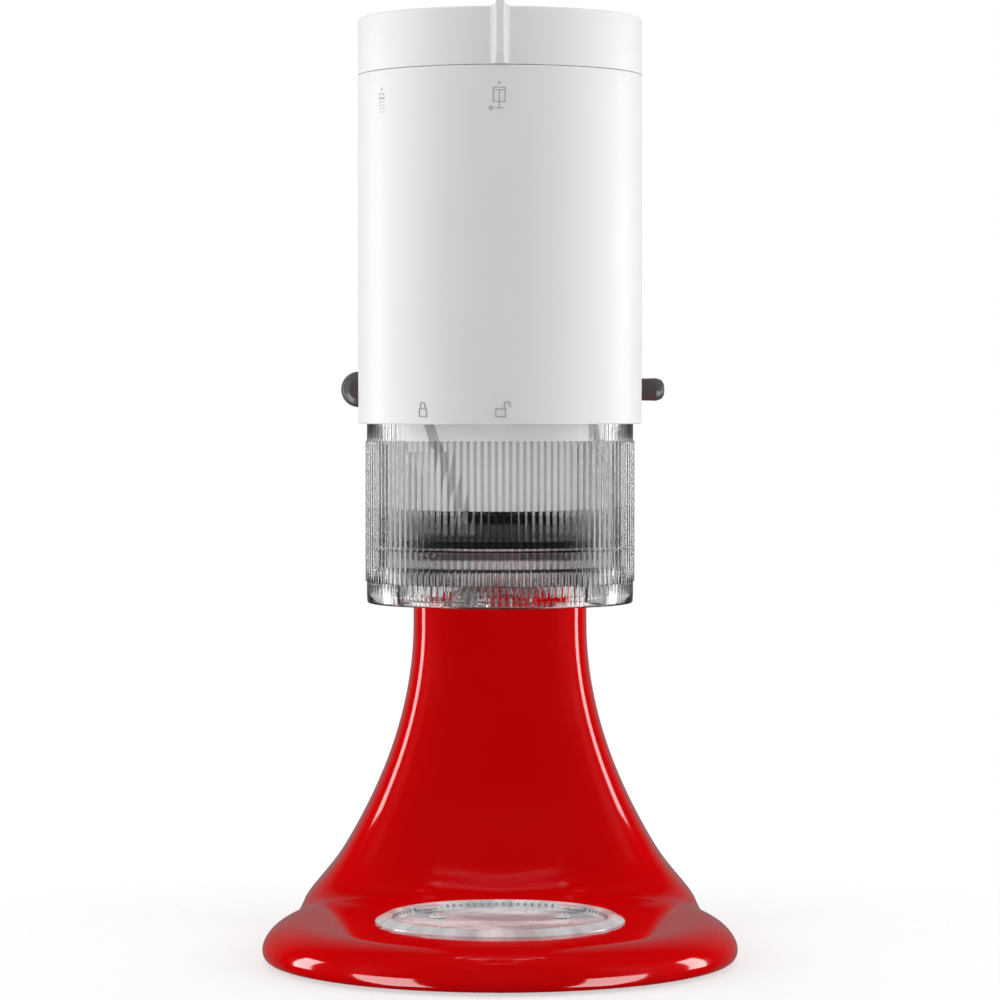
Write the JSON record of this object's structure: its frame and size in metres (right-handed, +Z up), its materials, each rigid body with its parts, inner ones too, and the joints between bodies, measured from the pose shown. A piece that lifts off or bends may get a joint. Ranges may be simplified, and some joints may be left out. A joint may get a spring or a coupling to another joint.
{
  "type": "shaved ice machine",
  "caption": "Tilt-head stand with a geared motor drives an upright ice shaver: lidded housing, turning ice drum, spring press and ribbed clear blade cup.",
  "frame": {"origin": "on the table, under the axis of the bowl clamp plate, which is also the middle of the overall box", "axes": "+Z up, +Y towards the back of the head, +X to the right as seen from the front"},
  "size_m": [0.221, 0.457, 0.424],
  "materials": {
    "red_enamel": "high gloss enamel",
    "rubber_black": "matt",
    "bright_steel": "fine brushed",
    "chrome_trim": "polished",
    "cast_aluminium": "satin cast",
    "black_plastic": "satin",
    "gear_steel": "machined and oiled",
    "gear_nylon": "satin",
    "bearing_bronze": "sintered bronze",
    "motor_copper": "varnished winding",
    "white_plastic": "soft gloss",
    "grey_plastic": "satin",
    "clear_plastic": "clear polished"
  },
  "bodies": {
    "stand": {"base_casting": "red_enamel", "rubber_feet": "rubber_black", "clamp_plate": "bright_steel", "clamp_screws": "bright_steel", "hinge_pin": "bright_steel", "height_screw": "bright_steel"},
    "head": {"gearcase": "red_enamel", "motor_shell": "red_enamel", "trim_band": "chrome_trim", "rear_cover": "chrome_trim", "rear_screw": "bright_steel", "hub_socket": "cast_aluminium", "motor_stator": "motor_copper", "motor_bearings": "bearing_bronze", "motor_frame": "cast_aluminium", "gear_frame": "cast_aluminium", "lay_bushes": "bearing_bronze", "cord_gland": "rubber_black", "centre_bush": "bearing_bronze", "planet_ring": "gear_steel", "drip_ring": "chrome_trim"},
    "speed": {"speed_lever": "gear_steel", "speed_knob": "black_plastic"},
    "lock": {"lock_lever": "gear_steel", "lock_knob": "black_plastic"},
    "clamp_knob": {"attachment_knob": "black_plastic"},
    "armature": {"armature_shaft": "gear_steel", "armature_core": "motor_copper", "cooling_fan": "gear_nylon", "motor_pinion": "gear_steel"},
    "lay": {"lay_shaft": "gear_steel", "reduction_gear": "gear_nylon", "drive_pinion": "gear_steel"},
    "planetary": {"centre_shaft": "gear_steel", "crown_gear": "gear_steel", "planet_carrier": "cast_aluminium"},
    "beater": {"beater_shaft": "gear_steel", "beater_pinion": "gear_steel", "beater_spring": "bright_steel", "beater_washer": "bright_steel"},
    "hub_drive": {"hub_pinion": "gear_steel", "hub_shaft": "gear_steel"},
    "shaver": {"main_housing": "white_plastic", "shaft_stub": "black_plastic", "drum_bush": "black_plastic"},
    "power": {"power_shaft": "gear_steel", "power_pinion": "gear_nylon"},
    "drum": {"drum_gear": "gear_nylon", "ice_drum": "clear_plastic"},
    "press": {"press_plate": "grey_plastic", "press_spikes": "bright_steel"},
    "lid": {"lid": "white_plastic", "press_spring": "bright_steel"},
    "cup": {"cup_wall": "clear_plastic", "seal_ring": "rubber_black", "ice_chute": "clear_plastic", "blade_plate": "black_plastic", "shaving_blade": "bright_steel", "blade_clamp": "bright_steel", "blade_screws": "bright_steel"}
  },
  "joints": [
    {"name": "head_tilt", "type": "hinge", "parent": "stand", "child": "head", "pos_m": [0, 0.15, 0.204], "axis": [-1, 0, 0], "range_deg": [0, 45]},
    {"name": "speed_slide", "type": "slide", "parent": "head", "child": "speed", "axis": [0, 1, 0], "range_m": [0, 0.032]},
    {"name": "lock_slide", "type": "slide", "parent": "head", "child": "lock", "axis": [0, 1, 0], "range_m": [0, 0.015]},
    {"name": "knob_turn", "type": "hinge", "parent": "head", "child": "clamp_knob", "pos_m": [0.05, -0.066, 0.291], "axis": [1, 0, 0], "continuous": true},
    {"name": "armature_spin", "type": "hinge", "parent": "head", "child": "armature", "pos_m": [0, 0.1, 0.317], "axis": [0, 1, 0], "continuous": true},
    {"name": "lay_spin", "type": "hinge", "parent": "head", "child": "lay", "pos_m": [0, 0.05, 0.291], "axis": [0, 1, 0], "continuous": true},
    {"name": "planetary_spin", "type": "hinge", "parent": "head", "child": "planetary", "pos_m": [0, 0, 0.24], "axis": [0, 0, 1], "continuous": true},
    {"name": "beater_spin", "type": "hinge", "parent": "planetary", "child": "beater", "pos_m": [-0.015, -0.01873, 0.2], "axis": [0, 0, 1], "continuous": true},
    {"name": "hub_spin", "type": "hinge", "parent": "head", "child": "hub_drive", "pos_m": [0, -0.04, 0.291], "axis": [0, 1, 0], "continuous": true},
    {"name": "shaver_release", "type": "slide", "parent": "head", "child": "shaver", "axis": [0, -1, 0], "range_m": [0, 0.075]},
    {"name": "power_spin", "type": "hinge", "parent": "shaver", "child": "power", "pos_m": [0, -0.09, 0.291], "axis": [0, 1, 0], "continuous": true},
    {"name": "drum_spin", "type": "hinge", "parent": "shaver", "child": "drum", "pos_m": [0, -0.165, 0.3], "axis": [0, 0, 1], "continuous": true},
    {"name": "press_drop", "type": "slide", "parent": "drum", "child": "press", "axis": [0, 0, -1], "range_m": [0, 0.075], "deforming": ["press_spring"]},
    {"name": "lid_turn", "type": "hinge", "parent": "shaver", "child": "lid", "pos_m": [0, -0.165, 0.4], "axis": [0, 0, 1], "range_deg": [-56, 0]},
    {"name": "cup_turn", "type": "hinge", "parent": "shaver", "child": "cup", "pos_m": [0, -0.165, 0.25], "axis": [0, 0, 1], "range_deg": [0, 32]}
  ],
  "couplings": [
    {"joint": "lay_spin", "follows": "armature_spin", "ratio": -0.3},
    {"joint": "planetary_spin", "follows": "armature_spin", "ratio": -0.1},
    {"joint": "beater_spin", "follows": "armature_spin", "ratio": 0.3},
    {"joint": "hub_spin", "follows": "armature_spin", "ratio": 0.3},
    {"joint": "power_spin", "follows": "armature_spin", "ratio": 0.3},
    {"joint": "drum_spin", "follows": "armature_spin", "ratio": 0.075}
  ]
}
